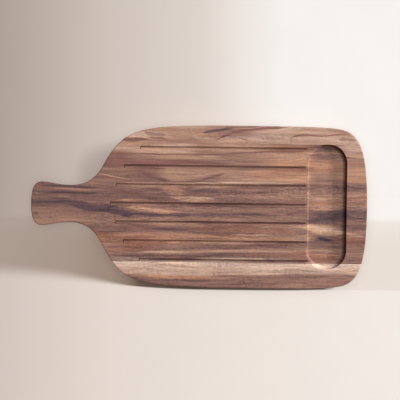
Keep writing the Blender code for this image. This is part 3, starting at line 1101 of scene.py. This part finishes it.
# %% [markdown]
# The paper it lies on
#
# A photographer lays such a board on a sheet of warm white paper that bends up behind it. There the
# bend runs under the board: the paper is grey at the left, almost white at the right, and darkest
# where the board's long edge touches it. The board lies flat here, so this light and shade is
# painted on a flat sheet: painted fall-off from left to right, the bend's painted shade and a
# painted shadow along the board's long edge. It has three rows of tones, above the bend, in its
# shade and below it, and a line says where the bend runs. Under the board the sheet stays plain, so
# that the underside is lit evenly.

# %% The floor
floor_half = 40
corners = [(x * floor_half, y * floor_half, 0) for x, y in ((-1, -1), (1, -1), (1, 1), (-1, 1))]
floor_mesh = bpy.data.meshes.new("floor")
floor_mesh.from_pydata(corners, [], [(0, 1, 2, 3)])
floor = put("floor", floor_mesh)


def row(*stops):
    """A row of paper tones: (share from left to right, red, green, blue)."""
    return [(share, linear(*screen)) for share, *screen in stops]


drawn_width, drawn_height = 600, 150
paper = Finish("paper")
share = paper.added(paper.x, 1 / drawn_width, 0.5)
# The rows are painted light and shade: the upper and lower rows paint the light's fall-off from
# grey at the left to near white at the right, and the shade row paints the bend's shade and,
# darkest, the board's shadow along its long edge.
upper = paper.bands(share, row(
    (0.02, 170, 155, 145), (0.14, 184, 171, 162), (0.28, 200, 189, 181), (0.5, 217, 207, 199),
    (0.6, 232, 225, 220), (0.7, 240, 237, 233), (0.98, 242, 239, 235),
))
shade = paper.bands(share, row(
    (0.04, 165, 149, 138), (0.2, 161, 143, 131), (0.29, 152, 132, 118), (0.33, 138, 117, 104),
    (0.36, 100, 81, 71), (0.45, 74, 58, 50), (0.8, 82, 65, 57), (0.83, 228, 218, 209),
))
lower = paper.bands(share, row(
    (0.02, 205, 192, 184), (0.3, 223, 212, 204), (0.6, 231, 222, 215), (0.98, 237, 230, 224),
))

# %% [markdown]
# The bend is a line drawn from left to right with its own softness: wide at the left, where the
# paper bends freely, and sharp where the board's edge presses on it. The shade at the neck is a
# soft round spot.

# %% The bend, the neck's shade and the plain sheet under the board
bend_line = paper.curve(share, [
    (0.03, 0.644), (0.15, 0.673), (0.21, 0.701), (0.26, 0.728), (0.285, 0.744), (0.315, 0.762),
    (0.345, 0.775), (0.44, 0.795), (0.55, 0.801), (0.7, 0.798), (0.82, 0.785),
])
softness = paper.curve(share, [
    (0.04, 0.9), (0.15, 0.8), (0.21, 0.6), (0.26, 0.4), (0.31, 0.19), (0.36, 0.07), (0.8, 0.07),
])
covered = paper.curve(share, [
    (0.25, 0.12), (0.3, 0.34), (0.333, 0.5), (0.36, 0.6), (0.42, 0.67), (0.5, 0.7), (0.8, 0.7),
    (0.833, 0.62), (0.86, 0.45), (0.885, 0.1),
])
past_bend = paper.share(paper.added(bend_line, -drawn_height, paper.times(paper.y, -1)), softness)
from_neck = paper.reach(paper.number("ADD", paper.x, 130), paper.less(paper.y, 40))
inside = paper.added(covered, -drawn_height, paper.size(paper.y))
mottling = paper.noise(paper.place, (60, 60, 60), 3.0, 2)

paint = paper.mix(paper.fade(paper.y, 30, -60), upper, shade)
# Painted shadow: a soft round darker spot at the neck.
paint = paper.mix(paper.times(paper.fade(from_neck, 62, 28), 0.5), paint, linear(142, 127, 119))
paint = paper.mix(paper.fade(past_bend, -15, 15), paint, lower)
paint = paper.mix(paper.fade(inside, 4, -4), paint, upper)
paint = paper.mix(paper.added(mottling, 0.03, 0.03), paint, linear(200, 186, 176))
floor_mesh.materials.append(paper.finish(paint, 0.9, mottling, 0.01))

# %% [markdown]
# Light
#
# The grooves show only in light that rakes across them. A large soft light from the far right
# fills, and a small low one from the broad end draws the walls and the tray's edge. Both light the
# board alone. The paper has daylight of its own, so that its drawn tones stay as they are. A third
# of it comes from a wide part of the sky and is kept off by the board, which leaves a faint shade
# along every edge.


# %% Lamps
def lamp_over(name, kind, azimuth, elevation, energy, colour, lit, blockers):
    """A lamp over the board's middle, with the things it lights and the things that block it."""
    lamp = bpy.data.lights.new(name, kind)
    lamp.energy, lamp.color = energy, colour
    source = put(name, lamp)
    turn, rise = azimuth * degree, elevation * degree
    flat = math.cos(rise)
    direction = Vector((math.cos(turn) * flat, math.sin(turn) * flat, math.sin(rise)))
    source.location = direction * lamp_distance
    source.rotation_euler = direction.to_track_quat("Z", "Y").to_euler()
    for use, things in (("receiver_collection", lit), ("blocker_collection", blockers)):
        group = bpy.data.collections.new(name + "_" + use)
        for thing in things:
            group.objects.link(thing)
        setattr(source.light_linking, use, group)
    print(name, "at", azimuth, "and", elevation, "degrees lights", len(lit), "pieces")
    return lamp


lamp_distance = 9
warm, white = (1, 0.95, 0.92), (1, 0.993, 0.99)
board = [*staves.values(), *glue_lines.values()]
lamp_over("high_light", "AREA", 52, 60, 585, warm, board, board).size = 5.5
low_light = lamp_over("low_light", "AREA", 6, 19, 825, warm, board, board)
low_light.size = 1.3
low_light.cycles.max_bounces = 0
lamp_over("floor_light", "SUN", 90, 80, 2.18, white, [floor], [floor]).angle = 5 * degree
lamp_over("contact_light", "SUN", 90, 84, 1.02, white, [floor], [floor, *board]).angle = 90 * degree

world = bpy.data.worlds.new("studio")
world.use_nodes = True
backdrop = world.node_tree.nodes["Background"].inputs
backdrop["Color"].default_value = (1, 0.97, 0.95, 1)
backdrop["Strength"].default_value = 0.06
bpy.context.scene.world = world

# %% [markdown]
# The camera
#
# The photo looks at the board square on, and shows no perspective, so a long lens hangs high over
# it. The board is turned by three quarters of a degree in the photo, which the camera takes over.

# %% Hang the camera
camera_height = 1.8
seen_width = 571.1 * mm
sensor = 36
view = bpy.data.cameras.new("view")
view.sensor_width = sensor
view.lens = sensor * camera_height / seen_width
view.clip_start, view.clip_end = 0.1, 10
camera = put("view", view)
camera.location = (1.1 * mm, 9.1 * mm, thickness + camera_height)
camera.rotation_euler = (0, 0, 0.75 * degree)
bpy.context.scene.camera = camera
bpy.context.scene.view_settings.view_transform = "Standard"
print("lens", round(view.lens, 1), "mm, sees", seen_width / mm, "mm across")
